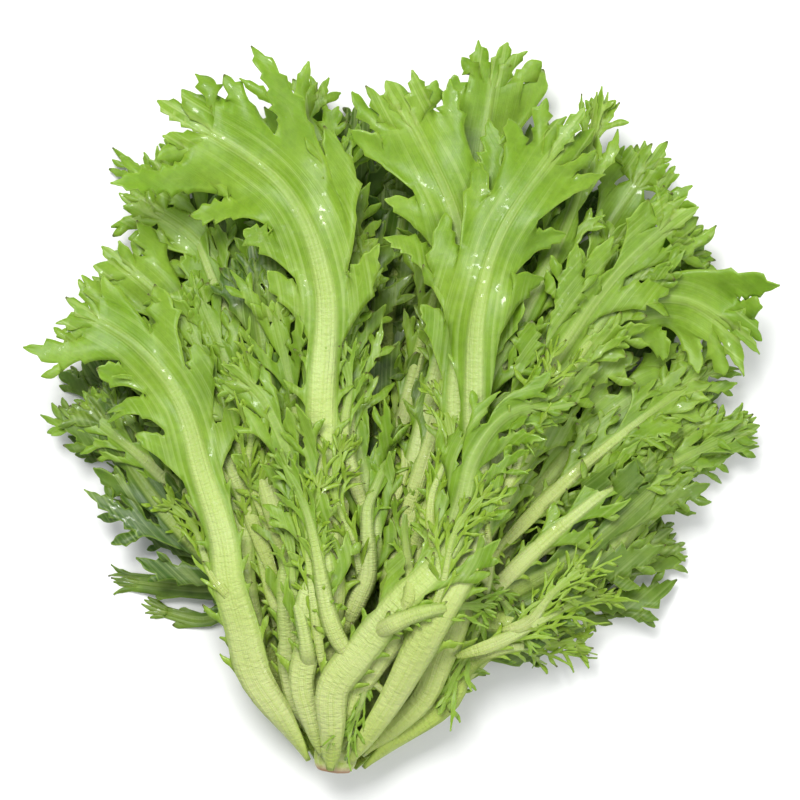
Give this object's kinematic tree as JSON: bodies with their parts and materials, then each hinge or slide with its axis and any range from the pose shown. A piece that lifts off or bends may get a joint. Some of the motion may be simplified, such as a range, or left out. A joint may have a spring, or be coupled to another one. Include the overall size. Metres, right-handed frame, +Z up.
{
  "type": "curly endive head",
  "caption": "Head of curly endive lying on its side: a short cut crown and a fan of ribbed, deeply cut frilly leaves, to rest on a board, plate or shelf.",
  "frame": {"origin": "the flat spot under the rib of the lowest leaf, on the surface the head lies on, near the middle of its length", "axes": "+Y from the cut crown towards the leaf tips, the head's longest way; +Z up from the surface; +X to the right when the crown is nearest"},
  "size_m": [0.2901, 0.2988, 0.0638],
  "materials": {
    "leaf": "fresh leaf, damp, pale at the rib and green at the edge",
    "crown": "cut stem, pale with a brownish rim"
  },
  "bodies": {
    "root": {"crown": "crown", "leaf_centre_fork": "leaf", "leaf_centre_left_fan": "leaf", "leaf_centre_left_fork": "leaf", "leaf_fan_left": "leaf", "leaf_fan_right": "leaf", "leaf_front_crossing": "leaf", "leaf_front_stalk": "leaf", "leaf_left_back": "leaf", "leaf_left_long": "leaf", "leaf_left_low_strap": "leaf", "leaf_left_strap": "leaf", "leaf_left_under": "leaf", "leaf_left_wide": "leaf", "leaf_lowest": "leaf", "leaf_narrow_right": "leaf", "leaf_right_crossing": "leaf", "leaf_right_fan": "leaf", "leaf_right_high": "leaf", "leaf_right_long": "leaf", "leaf_right_low": "leaf", "leaf_right_low_fan": "leaf", "leaf_top_left": "leaf", "leaf_top_peak": "leaf", "leaf_top_right": "leaf", "leaf_under_02": "leaf", "leaf_under_03": "leaf", "leaf_under_04": "leaf", "leaf_under_05": "leaf", "leaf_under_06": "leaf", "leaf_under_07": "leaf", "leaf_under_08": "leaf", "leaf_under_09": "leaf", "leaf_under_10": "leaf", "leaf_under_11": "leaf", "leaf_under_12": "leaf", "leaf_under_13": "leaf"}
  },
  "joints": []
}
